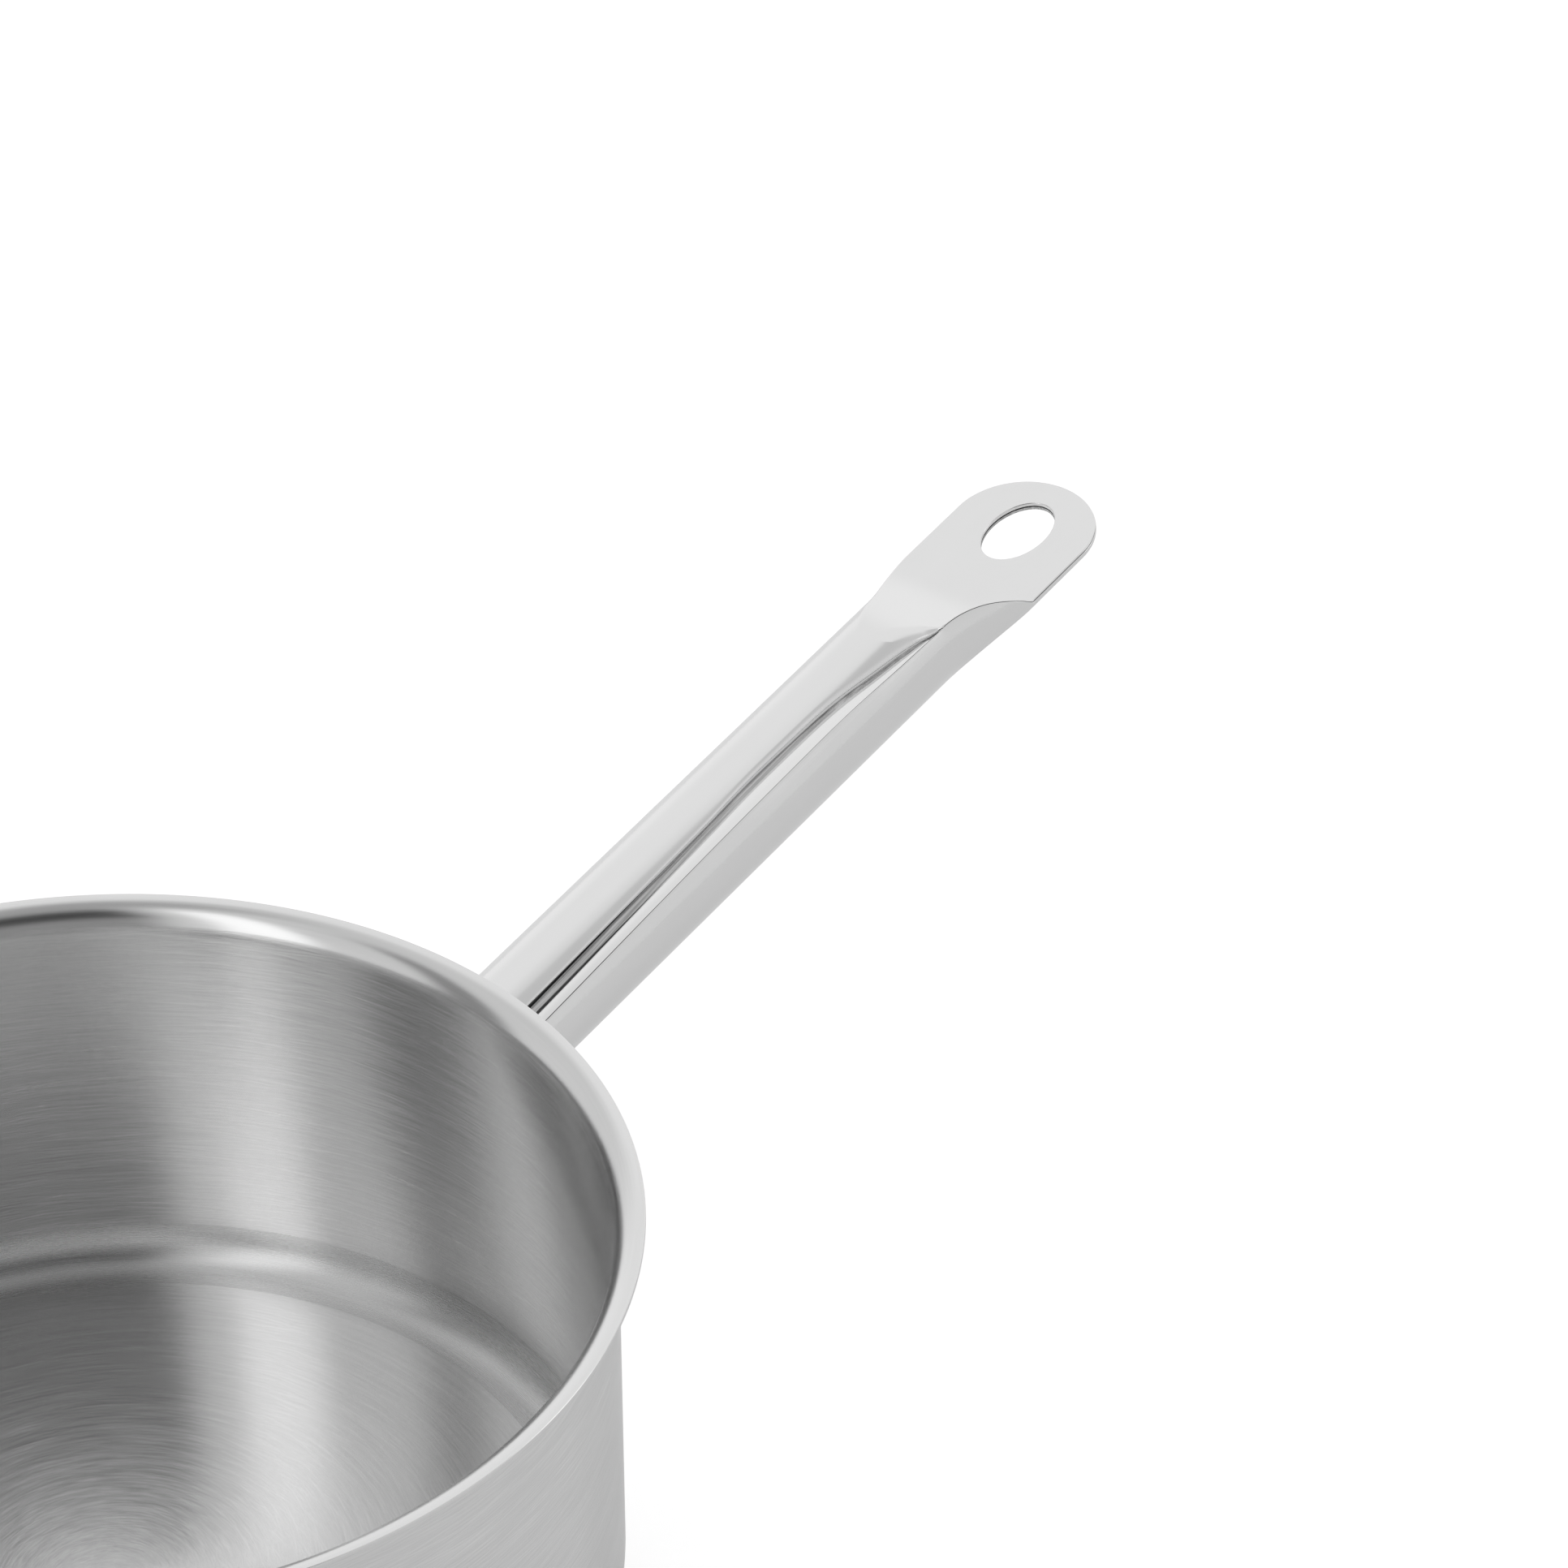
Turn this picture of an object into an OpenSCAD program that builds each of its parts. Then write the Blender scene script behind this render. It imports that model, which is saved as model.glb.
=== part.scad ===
// Stainless steel saucepan with a long handle rolled from one sheet.
// The origin is the centre of the underside, +X runs along the handle and +Z is up.
// Lengths are in millimetres and angles in degrees.

/* [Pan] */
// Inner diameter of the straight wall
pan_inner_d = 180; // [150:5:240]
// Inner depth from the top of the rim to the floor
pan_depth = 80; // [72:1:140]
// Thickness of the sheet that the pan is drawn from
pan_sheet_t = 0.9; // [0.6:0.1:1.6]
// Inner radius of the corner between wall and floor
corner_r = 8; // [4:0.5:14]
// How far the pouring rim flares out past the inside of the wall
rim_flare = 5.5; // [3:0.5:8]

/* [Base] */
// Thickness of the disc that spreads the heat
core_t = 4.5; // [2:0.5:8]
// Thickness of the cup that encloses the disc
cap_t = 0.6; // [0.4:0.1:1]
// Radius of the lower edge of the disc
core_edge_r = 2; // [1:0.25:2]
// How far the cup's side stays inside the flat part of the pan's floor
cap_inset = 1.2; // [0.5:0.1:6]
// Gap between the edge of the disc and the side of the cup
core_gap = 0.2; // [0.1:0.05:0.5]

/* [Handle] */
// Height of the handle's root below the top of the rim
handle_drop = 30; // [26:0.5:36]
// Rise of the handle above level
handle_tilt = 10; // [0:1:20]
// Outer diameter of the rolled tube
tube_d = 22; // [18:0.5:26]
// Thickness of the handle's sheet
handle_sheet_t = 0.8; // [0.6:0.1:1]
// Length of the round grip, measured from the pan's wall
grip_len = 147; // [110:1:180]
// Length over which the tube is pressed flat
press_len = 19.2; // [16:0.4:30]
// Length of the flat tab, from the end of the press to the tip
tab_len = 35.2; // [33:0.4:50]
// Width of the flat tab
tab_w = 30.4; // [26:0.2:34]
// Thickness of the flat tab, two layers of sheet
tab_t = 1.7; // [1.4:0.1:2.4]

/* [Seam] */
// Sideways turn at the end of the left lip, where it curls into the seam
curl_turn = 65; // [50:1:75]
// Gap between the end of the curled lip and the floor of the seam
lip_gap = 0.3; // [0.1:0.05:0.5]
// Radius of the crisp right lip
crisp_lip_r = 0.7; // [0.3:0.1:1]
// Width of the seam where it is closed
hairline_w = 0.15; // [0.1:0.05:0.3]

/* [Hanging hole] */
// Length of the oval hole along the tab
hole_l = 18.9; // [12:0.1:22]
// Width of the oval hole
hole_w = 12.4; // [8:0.1:16]
// Distance from the middle of the hole to the tip
hole_to_tip = 16.1; // [14:0.1:20]

/* [Root] */
// Width of the plate that carries the handle
plate_w = 42; // [36:1:60]
// Height of the plate
plate_h = 36; // [34:1:38]
// Corner radius of the plate
plate_corner_r = 9; // [3:0.5:15]
// Thickness of the plate
plate_t = 1.5; // [1:0.1:3]
// Radius of the weld bead's section
bead_r = 1.8; // [1:0.1:2.5]
// Gap at each curved joint before it is welded
weld_gap = 0.05; // [0.02:0.01:0.2]

/* [Hidden] */
$fn = 96;

// Shares of the grip's length, and the seam's right lip as a share of the half width there.
grip_seam_shares = [
    [-0.1, 0.875], [0, 0.86], [0.18, 0.833], [0.35, 0.80], [0.5, 0.773],
    [0.65, 0.755], [0.8, 0.748], [0.92, 0.783], [1, 0.83]
];
// The same past the grip, along shares of the pressed length.
press_seam_shares = [
    [0.36, 0.843], [0.73, 0.711], [0.89, 0.70], [1, 0.80], [1.12, 0.94], [1.5, 0.97], [3, 0.97]
];
// Shares of the grip's length, and the width of the open seam as a share of the tube's diameter.
slot_width_shares = [
    [-0.1, 0.105], [0, 0.109], [0.35, 0.118], [0.5, 0.123], [0.62, 0.132],
    [0.72, 0.123], [0.8, 0.109], [0.88, 0.077], [0.92, 0.062], [0.955, 0.036], [1, 0]
];
// Shares of the grip's length, and the radius of the curled lip as a share of the tube's radius.
curl_radius_shares = [
    [-0.1, 0.4], [0, 0.4], [0.35, 0.36], [0.65, 0.28], [0.8, 0.2], [1, 0.17], [1.06, 0.11],
    [1.13, 0.05], [1.3, 0.03], [1.5, 0.03]
];
// Share of the pressed length at which the tube's hollow ends.
hollow_end_share = 0.62;
// Share of the seam's depth that the crisp lip's rounding may take.
lip_depth_share = 0.5;
// Weight of turning against length, as a share of the tube's radius, in spacing the points.
turn_weight_share = 0.5;
// Steps of the loft: along the grip, the press, the straight tab and the round tip.
grip_steps = 16;
press_steps = 12;
tab_steps = 3;
tip_steps = 7;
// Points of one section: round the outside, on the curl and on the crisp lip.
around_steps = 40;
curl_steps = 5;
lip_steps = 2;
// Angle of the tip's last section, short of a full quarter turn.
tip_turn = 84;
// Number of sides of the wide cylinders that small pieces are cut by.
wide_fn = 720;
// Overrun of every cut.
overrun = 1;

pan_r = pan_inner_d / 2;
wall_r = pan_r + pan_sheet_t;
floor_flat_r = pan_r - corner_r;
under_z = cap_t + core_t;
floor_z = under_z + pan_sheet_t;
rim_z = floor_z + pan_depth;
cap_r = floor_flat_r - cap_inset;
cap_edge_r = core_edge_r + cap_t + core_gap;
core_r = cap_r - cap_t - core_gap;
root_z = rim_z - handle_drop;
plate_r = wall_r + weld_gap + plate_t;
tube_r = tube_d / 2;
handle_len = grip_len + press_len + tab_len;
tip_r = tab_w / 2;
tip_x = handle_len - tip_r;
buried_len = tube_r;

// One quarter of a flat ring, from the angle start on.
module quarter_ring(outer_r, inner_r, start) {
    rotate(start)
        intersection() {
            difference() {
                circle(outer_r);
                circle(inner_r);
            }
            square(outer_r);
        }
}

// Drawn pan: floor, corner, wall and flared rim in one sheet.
module pan_body() {
    color("silver")
        rotate_extrude() {
            translate([0, under_z])
                square([floor_flat_r, pan_sheet_t]);
            translate([floor_flat_r, floor_z + corner_r])
                quarter_ring(corner_r + pan_sheet_t, corner_r, -90);
            translate([pan_r, floor_z + corner_r])
                square([pan_sheet_t, pan_depth - corner_r - rim_flare]);
            translate([pan_r + rim_flare, rim_z - rim_flare])
                quarter_ring(rim_flare, rim_flare - pan_sheet_t, 90);
        }
}

// Half section of a disc with a rounded lower edge, standing on z = 0.
module disc_section(r, h, edge_r) {
    square([r - edge_r, h]);
    translate([0, edge_r])
        square([r, h - edge_r]);
    translate([r - edge_r, edge_r])
        circle(edge_r);
}

// Disc that spreads the heat, between the pan's floor and the cup.
module base_core() {
    color("gainsboro")
        translate([0, 0, cap_t])
            rotate_extrude()
                disc_section(core_r, core_t, core_edge_r);
}

// Cup that encloses the disc and is the face the pan stands on.
module base_cap() {
    color("lightgray")
        difference() {
            rotate_extrude()
                disc_section(cap_r, under_z, cap_edge_r);
            translate([0, 0, cap_t])
                rotate_extrude()
                    disc_section(core_r + core_gap, core_t + overrun, core_edge_r + core_gap);
        }
}

// Rectangle with round corners, centred.
module round_rectangle(w, h, r) {
    square([w - 2 * r, h], center = true);
    square([w, h - 2 * r], center = true);
    for (x = [-1, 1], y = [-1, 1])
        translate([x * (w / 2 - r), y * (h / 2 - r)])
            circle(r);
}

// Saddle plate, curved to the pan's wall.
module root_plate() {
    color("darkgray")
        intersection() {
            translate([0, 0, root_z - plate_h])
                difference() {
                    cylinder(r = plate_r, h = 2 * plate_h, $fn = wide_fn);
                    translate([0, 0, -overrun])
                        cylinder(r = wall_r + weld_gap, h = 2 * plate_h + 2 * overrun, $fn = wide_fn);
                }
            translate([0, 0, root_z])
                rotate([90, 0, 90])
                    linear_extrude(plate_r + overrun)
                        round_rectangle(plate_w, plate_h, plate_corner_r);
        }
}

// Places its children with x along the handle, from the wall's outer face.
module along_handle() {
    translate([wall_r, 0, root_z])
        rotate([0, -handle_tilt, 0])
            children();
}

// Even blend from 0 to 1.
function smooth(u) = let (v = min(max(u, 0), 1)) v * v * (3 - 2 * v);

// Half height of the section at x: round, then pressed flat.
function half_h(x) = tube_r + (tab_t / 2 - tube_r) * smooth((x - grip_len) / press_len);

// Half width of the section at x, which ends in the round tip.
function half_w(x) =
    x > tip_x
    ? sqrt(max(tip_r * tip_r - (x - tip_x) * (x - tip_x), 0))
    : tube_r + (tip_r - tube_r) * smooth((x - grip_len) / (press_len + tab_t));

// Half length of the flat between the section's two round ends.
function flat_c(x) = max(half_w(x) - half_h(x), hairline_w);

// Length round the section.
function round_len(x) = 4 * flat_c(x) + 2 * PI * half_h(x);

// Point at distance s round the section from the top, and at depth d below the surface.
function at(x, s, d) =
    let (k = half_h(x), c = flat_c(x), whole = round_len(x), m = s - whole * floor(s / whole))
    m <= c ? [x, -m, k - d]
    : m <= c + PI * k ? let (f = (m - c) / k * 180 / PI) [x, -c - (k - d) * sin(f), (k - d) * cos(f)]
    : m <= 3 * c + PI * k ? [x, m - 2 * c - PI * k, d - k]
    : m <= 3 * c + 2 * PI * k ? let (f = (m - 3 * c - PI * k) / k * 180 / PI)
        [x, c + (k - d) * sin(f), (d - k) * cos(f)]
    : [x, whole - m, k - d];

// Spacing measure round the section, in which turning counts as well as length.
function spacing(x) =
    let (k = half_h(x), c = flat_c(x), e = k + turn_weight_share * tube_r)
    [[0, 0], [c, c], [c + PI * k, c + PI * e], [3 * c + PI * k, 3 * c + PI * e],
     [3 * c + 2 * PI * k, 3 * c + 2 * PI * e], [5 * c + 2 * PI * k, 5 * c + 2 * PI * e],
     [5 * c + 3 * PI * k, 5 * c + 3 * PI * e]];
function flipped(table) = [for (row = table) [row[1], row[0]]];

// Evenly spaced distances round the section, from s0 to s1.
function spread(x, s0, s1) =
    let (table = spacing(x), back = flipped(table), m0 = lookup(s0, table), m1 = lookup(s1, table))
    [for (i = [0:around_steps]) lookup(m0 + (m1 - m0) * i / around_steps, back)];

// Seam: the right lip's distance round the section, from its sideways share.
seam_keys = concat(
    [for (key = grip_seam_shares) [key[0] * grip_len, key[1]]],
    [for (key = press_seam_shares) [grip_len + key[0] * press_len, key[1]]]
);
function right_lip(x) =
    let (k = half_h(x), c = flat_c(x), side = lookup(x, seam_keys) * half_w(x))
    side <= c ? side : c + k * asin(min((side - c) / k, 1)) * PI / 180;
function slot_w(x) = max(lookup(x / grip_len, slot_width_shares) * tube_d, hairline_w);
function curl_r(x) = lookup(x / grip_len, curl_radius_shares) * tube_r;
function curl_depth(x) = curl_r(x) * (1 - cos(curl_turn));
function seam_depth(x) = curl_depth(x) + min(lip_gap, curl_r(x) / 2);
function left_lip(x) = right_lip(x) - slot_w(x);
function curl_start(x) = left_lip(x) - curl_r(x) * sin(curl_turn);
function lip_r(x) = min(crisp_lip_r, lip_depth_share * seam_depth(x));

// Outer outline of the section: round the outside, down the curl, along the floor, up the lip.
function outer_outline(x) =
    let (r = curl_r(x), e = lip_r(x), s0 = curl_start(x), s1 = right_lip(x), deep = seam_depth(x))
    concat(
        [for (s = spread(x, s1 + e, s0 + round_len(x))) at(x, s, 0)],
        [for (i = [1:curl_steps]) let (b = curl_turn * i / curl_steps) at(x, s0 + r * sin(b), r - r * cos(b))],
        [at(x, left_lip(x) - lip_gap, deep), at(x, s1, deep)],
        [for (i = [0:lip_steps - 1]) let (g = 90 * i / lip_steps) at(x, s1 + e - e * cos(g), e - e * sin(g))]
    );

// Outline of the hollow, one sheet inside the outer outline.
function inner_outline(x) =
    let (
        t = handle_sheet_t, r = curl_r(x) - t, s0 = curl_start(x), s1 = right_lip(x) + t,
        deep = seam_depth(x) + t
    )
    concat(
        [for (s = spread(x, s1 + lip_r(x), s0 + round_len(x))) at(x, s, t)],
        [at(x, s0 + r * sin(curl_turn), t + r - r * cos(curl_turn))],
        [at(x, s0 + r * sin(curl_turn), deep), at(x, s1, deep)]
    );

// Solid through a row of outlines, all with the same number of points.
module loft(outlines) {
    n = len(outlines[0]);
    last = len(outlines) - 1;
    polyhedron(
        points = [for (outline = outlines) each outline],
        faces = concat(
            [[for (j = [0:n - 1]) j]],
            [for (i = [0:last - 1], j = [0:n - 1]) each [
                [i * n + j, (i + 1) * n + j, (i + 1) * n + (j + 1) % n],
                [i * n + j, (i + 1) * n + (j + 1) % n, i * n + (j + 1) % n]
            ]],
            [[for (j = [n - 1:-1:0]) last * n + j]]
        )
    );
}

// Places of the sections along the handle.
grip_places = [for (i = [0:grip_steps]) (grip_len + buried_len) * i / grip_steps - buried_len];
press_places = [for (i = [1:press_steps]) grip_len + (press_len + tab_t) * i / press_steps];
tab_start = grip_len + press_len + tab_t;
tab_places = [for (i = [1:tab_steps]) tab_start + (tip_x - tab_start) * i / tab_steps];
tip_places = [for (i = [1:tip_steps]) tip_x + tip_r * sin(tip_turn * i / tip_steps)];
hollow_end = grip_len + hollow_end_share * press_len;
hollow_places = concat(
    [-buried_len - overrun],
    [for (x = grip_places) if (x > -buried_len) x],
    [for (x = press_places) if (x < hollow_end) x]
);

// Oval of the hanging hole.
module hole_oval() {
    polygon([for (i = [0:71]) [hole_l / 2 * cos(5 * i), hole_w / 2 * sin(5 * i)]]);
}

// Handle: one rolled sheet, with its seam on the upper right, pressed flat into a tab at the end.
module handle() {
    color("whitesmoke")
        difference() {
            along_handle()
                difference() {
                    loft([for (x = concat(grip_places, press_places, tab_places, tip_places)) outer_outline(x)]);
                    loft([for (x = hollow_places) inner_outline(x)]);
                    translate([handle_len - hole_to_tip, 0, -tab_t])
                        linear_extrude(2 * tab_t)
                            hole_oval();
                }
            translate([0, 0, root_z - plate_h])
                cylinder(r = plate_r + weld_gap, h = 2 * plate_h, $fn = wide_fn);
        }
}

// Weld bead round the root of the tube, on the plate.
module weld_bead() {
    color("gray")
        difference() {
            translate([plate_r, 0, root_z + plate_t * tan(handle_tilt)])
                rotate([0, 90, 0])
                    rotate_extrude()
                        translate([tube_r, 0])
                            circle(bead_r);
            translate([0, 0, root_z - plate_h])
                cylinder(r = plate_r + weld_gap, h = 2 * plate_h, $fn = wide_fn);
            along_handle()
                translate([-tube_r, 0, 0])
                    rotate([0, 90, 0])
                        cylinder(r = tube_r + weld_gap, h = 2 * tube_d);
        }
}

pan_body();
base_core();
base_cap();
root_plate();
handle();
weld_bead();
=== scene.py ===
# Stainless steel saucepan: fine pieces, steel finishes and studio light round the CAD part.
import math

import bmesh
import bpy
from mathutils import Matrix, Vector


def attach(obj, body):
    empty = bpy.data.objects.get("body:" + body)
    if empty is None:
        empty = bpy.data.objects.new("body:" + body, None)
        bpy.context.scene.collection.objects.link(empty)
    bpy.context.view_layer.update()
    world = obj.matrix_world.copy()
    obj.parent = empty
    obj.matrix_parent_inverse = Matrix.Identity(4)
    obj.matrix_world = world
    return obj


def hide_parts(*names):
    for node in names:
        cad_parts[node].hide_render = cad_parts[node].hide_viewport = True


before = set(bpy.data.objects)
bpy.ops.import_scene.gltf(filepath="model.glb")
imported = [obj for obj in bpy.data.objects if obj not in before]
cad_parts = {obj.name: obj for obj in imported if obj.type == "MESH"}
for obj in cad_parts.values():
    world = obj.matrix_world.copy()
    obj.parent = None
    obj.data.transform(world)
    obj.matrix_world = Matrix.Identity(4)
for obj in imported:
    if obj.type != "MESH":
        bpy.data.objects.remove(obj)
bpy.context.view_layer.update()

# Every length below is in millimetres until it is put into a mesh, and every angle in degrees.
MM = 0.001
SAME_PLACE = 0.0001

# Pan
PAN_INNER_R = 90.0
PAN_SHEET_T = 0.9
WALL_R = PAN_INNER_R + PAN_SHEET_T
CORNER_R = 8.0
FLAT_R = PAN_INNER_R - CORNER_R
RIM_FLARE = 5.5
UNDER_Z = 5.1
FLOOR_Z = UNDER_Z + PAN_SHEET_T
CORNER_Z = FLOOR_Z + CORNER_R
RIM_Z = 86.0
FLARE_Z = RIM_Z - RIM_FLARE
RIM_EDGE_R = 0.2
POLISH_STARTS = 1.9
PAN_SHARP_ANGLE = 40.0

# Rings of the pan's section, and steps round its axis
FLOOR_RINGS = 16
CORNER_RINGS = 16
INNER_WALL_RINGS = 24
INNER_FLARE_RINGS = 20
EDGE_RINGS = 5
OUTER_FLARE_RINGS = 16
OUTER_WALL_RINGS = 12
PAN_STEPS_ROUND = 288

# Handle
ROOT_Z = 56.0
HANDLE_TILT = 10.0
TUBE_R = 11.0
GRIP_LEN = 147.0
PRESS_LEN = 19.2
TAB_LEN = 35.2
TIP_R = 15.2
TAB_T = 1.7
HANDLE_LEN = GRIP_LEN + PRESS_LEN + TAB_LEN
TIP_X = HANDLE_LEN - TIP_R
ROOT_GAP = 1.55
HANDLE_SHARP_ANGLE = 32.0

# Ramp that is pressed down from the round grip to the flat tab, beside the right wall that stands longer
RAMP_START = 133.0
RAMP_END = 167.0
FLAT_FROM = 169.6
WALL_LEAN = 0.3
LIP_BEFORE_SEAM = 2.0

# Folds of the pressed sheet. The one at the wall's foot is wide on the ramp and tightens towards the tab.
FOLD_R = 0.5
RAMP_FOLD_R = 2.4
FOLD_TIGHTENS_FROM = 144.0
FOLD_TIGHTENS_OVER = 4.0
RAMP_FOLD_SHARE = 0.9
FOLD_MARGIN = 0.2

# Seam of the rolled handle, which the camera sees from that angle right of the tube's top
SEEN_FROM = 37.0
SEAM_FLOOR_TILT = 8.0
FULLY_OPEN_W = 2.0
OPEN_DEPTH = 0.55
SHUT_DEPTH = 0.3
SHUTS_FROM = 138.0
GAP_LEN = 78.0
# Over this share of the gap's length, the gap over the sheared edge is painted near-black as shade
PAINTED_SHADE_SHARE = 0.9
GAP_W = 1.0
CUT_RIDGE = 0.05
LIP_BEND_SHARE = 0.6
RIGHT_LIP_R = 0.28
RIGHT_LIP_SHARE = 0.45
HAIRLINE_W = 0.15

# Hollow of the gap over the sheared edge, which is painted near-black as shade: share of its width, and
# depth as a share of its width
GAP_HOLLOW = ((0.05, 0.3), (0.5, 0.6), (0.95, 0.3))

# Right lip of the seam: place along the handle in mm, and angle from the top of the tube in degrees
SEAM_ANGLE = [(-15, 61), (0, 59.3), (26.5, 56.4), (51.5, 53.1), (73.5, 50.6), (95.5, 49), (117.6, 48.4),
              (135, 51.5), (143, 52.5), (147, 52.9), (150, 52.3), (153.1, 52.4), (156.4, 54.2), (159.4, 58),
              (162.6, 65.1), (166, 75.6), (168, 83.5), (169.2, 87.4), (300, 87.5)]

# The three lists below go by the share of the grip's length. Width of the open seam, in tube diameters
SLOT_WIDTH = [(-0.1, 0.105), (0, 0.109), (0.35, 0.118), (0.5, 0.123), (0.62, 0.132), (0.72, 0.123),
              (0.8, 0.109), (0.88, 0.077), (0.92, 0.062), (0.965, 0.034), (1.01, 0), (2, 0)]
# Width in mm of the left lip's sheared edge as the camera sees it
CUT_WIDTH = [(-0.1, 0.5), (0.5, 0.5), (0.8, 0.55), (0.92, 0.4), (1.02, 0.25), (1.13, 0.18), (3, 0.18)]
# Softness in mm of the bend above that edge
EDGE_SOFTNESS = [(-0.1, 0.2), (0, 0.2), (0.3, 0.5), (0.55, 1.0), (0.8, 1.5), (0.95, 1.2), (1.05, 0.5),
                 (1.15, 0.25), (3, 0.25)]
# Part of the seam's floor in which the left lip mirrors itself, as a share of the open seam's width
MIRRORED_SHARE = 0.25

# Rows round the handle's section between its folds, from the right lip by the underside to the left lip
ROWS = (24, 1, 4, 1, 8, 1, 4, 1, 30, 1, 6, 1, 14, 1, 6, 1, 20)
CLOSEST_ROWS = 0.02
DIRECTION_STEP = 0.02

# Rows of the seam, and the first row of each part of it
LIP_BEND_STEPS = 12
CUT_STEPS = 6
SEAM_FLOOR_STEPS = 6
RIGHT_LIP_STEPS = 7
GAP_FIRST = sum(ROWS) + LIP_BEND_STEPS
CUT_FIRST = GAP_FIRST + len(GAP_HOLLOW) + 1
SEAM_FLOOR_FIRST = CUT_FIRST + CUT_STEPS
RIGHT_LIP_FIRST = SEAM_FLOOR_FIRST + SEAM_FLOOR_STEPS
OUTLINE_STEPS = RIGHT_LIP_FIRST + RIGHT_LIP_STEPS + 1

# Sections along each stretch of the handle
GRIP_STATIONS = 68
PRESS_STATIONS = 96
TAB_STATIONS = 12
TIP_STATIONS = 40

# Hanging hole, and the gap in its wall between the two layers of the tab
HOLE_L = 18.9
HOLE_W = 12.4
HOLE_TO_TIP = 16.1
HOLE_X = HANDLE_LEN - HOLE_TO_TIP
HOLE_EDGE_R = 0.16
HOLE_EDGE_STEPS = 4
HOLE_MARGIN = 0.15
HOLE_STEPS = 144
HOLE_FILL_GAP = 3.5
SHEET_GAP = 0.24
SHEET_GAP_DEPTH = 0.6
SHEET_EDGE_R = 0.12
SHEET_EDGE_CUT = 0.03
# This far past the sheet gap, the hole's wall is painted near-black as shade
PAINTED_SHADE_BEYOND_GAP = 0.04

# Places of the finishes on the handle and on the pan, after the main finish at 0. On the handle, one of
# them is painted shade and two are painted light
CUT_FINISH, PAINTED_SHADE_FINISH, PAINTED_LIGHT_FINISH, LIT_HOLE_FINISH = 1, 2, 3, 4
RIM_FINISH, FLOOR_FINISH, CORNER_FINISH = 1, 2, 3

# Grain of each effect along its three measures: grains a millimetre, or a radian for lines round the pan
ROUND_FINE = (5, 5, 3.4)
ROUND_STREAKS = (2.6, 2.6, 1.3)
ROUND_PATCHES = (0.035, 0.035, 0.05)
RISING_SCRATCHES = (0.055, 3.2, 0)
FALLING_SCRATCHES = (0.045, 2.8, 0)
LONG_FINE = (0.03, 4.2, 4.2)
LONG_STRANDS = (0.012, 2.6, 2.6)
LONG_PATCHES = (0.06, 0.16, 0.16)
SKIN_FINE = (3.5, 3.5, 3.5)
SKIN_DENTS = (0.7, 0.7, 0.7)

# Slopes of the scratches, levels of their grain between which they show, and least radius of the lines
SCRATCH_RISE = 0.09
SCRATCH_FALL = 0.05
SCRATCH_FROM = 0.48
SCRATCH_FULL = 0.78
NEAREST_AXIS = 0.5

# Turn of the stretched highlight, as a share of a full turn, so that it lies across the brushed lines
ACROSS_THE_LINES = 0.25

# White floor: its glow, and the share of it that metal mirrors in front of the pan and behind it
WHITE_FLOOR_HALF = 4000.0
WHITE_FLOOR_GREY = 0.8
WHITE_FLOOR_GLOW = 0.6
FRONT_Y = -50.0
BACK_Y = 100.0
FRONT_SHARE = 0.22
BACK_SHARE = 0.45

# Light tent: brightness at its foot, along its side and at its top, and the elevations between them
TENT_FOOT = 0.68
TENT_SIDE = 0.62
TENT_TOP = 0.35
TENT_EVEN_FROM = 55
TENT_TOP_FROM = 60
TENT_TOP_FULL = 85
PANEL_SOFT_UP = 10

# Panels of the studio: azimuth of the middle from the handle's side, half width, softness of the edges,
# lower and upper edge as elevations, and brightness
BACK_WALL = (31, 43, 14, -30, 73, 0.83)
BACK_WALL_FOOT = (31, 43, 14, -30, 20, 0.89)
LEFT_GAP = (135, 9, 5, -30, 54, 0.25)
CAMERA_WALL = (234.5, 31.5, 6, -30, 45, 0.27)
CAMERA_OPENING = (234.5, 31.5, 6, 36, 71, 0.04)
LEFT_SOFTBOX = (181.5, 9.5, 4, -30, 66, 1.2)
RIGHT_CEILING = (325.6, 22, 6, 50, 82, 0.56)
RIGHT_SOFTBOX = (322, 11, 5, 14, 30, 2.3)
PANELS = (BACK_WALL, BACK_WALL_FOOT, LEFT_GAP, CAMERA_WALL, CAMERA_OPENING, LEFT_SOFTBOX, RIGHT_CEILING,
          RIGHT_SOFTBOX)

# Camera, fitted to the photograph
EYE = (-470.5, -506.5, 632.4)
LOOKING = (0.6605, 0.5021, -0.5582)
LENS = 120.09
SENSOR_W = 36
NEAREST_SEEN = 10
FURTHEST_SEEN = 50000


def eased(keys, x):
    """Smooth curve through the keys, without a kink at any of them."""
    if x <= keys[0][0]:
        return keys[0][1]
    if x >= keys[-1][0]:
        return keys[-1][1]
    i = max(j for j, key in enumerate(keys) if key[0] <= x)

    def slope(j):
        low, high = keys[max(j - 1, 0)], keys[min(j + 1, len(keys) - 1)]
        return (high[1] - low[1]) / (high[0] - low[0])

    (x0, y0), (x1, y1) = keys[i], keys[i + 1]
    w = x1 - x0
    u = (x - x0) / w
    return ((1 + 2 * u) * (1 - u) ** 2 * y0 + u * (1 - u) ** 2 * w * slope(i)
            + u * u * (3 - 2 * u) * y1 - u * u * (1 - u) * w * slope(i + 1))


def blend(u):
    """Smooth step from 0 to 1 as u passes from 0 to 1."""
    u = min(max(u, 0.0), 1.0)
    return u * u * (3 - 2 * u)


def left_height(x):
    """Height of the pressed top over the middle of the handle."""
    return TUBE_R + (TAB_T / 2 - TUBE_R) * blend((x - RAMP_START) / (RAMP_END - RAMP_START))


def right_height(x):
    """Height of the right wall's lip, or of the pressed top where that is higher."""
    if x >= FLAT_FROM:
        return TAB_T / 2
    lip = TUBE_R * math.cos(math.radians(eased(SEAM_ANGLE, x) - LIP_BEFORE_SEAM))
    return max(left_height(x), lip if x > RAMP_START else 0)


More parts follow.
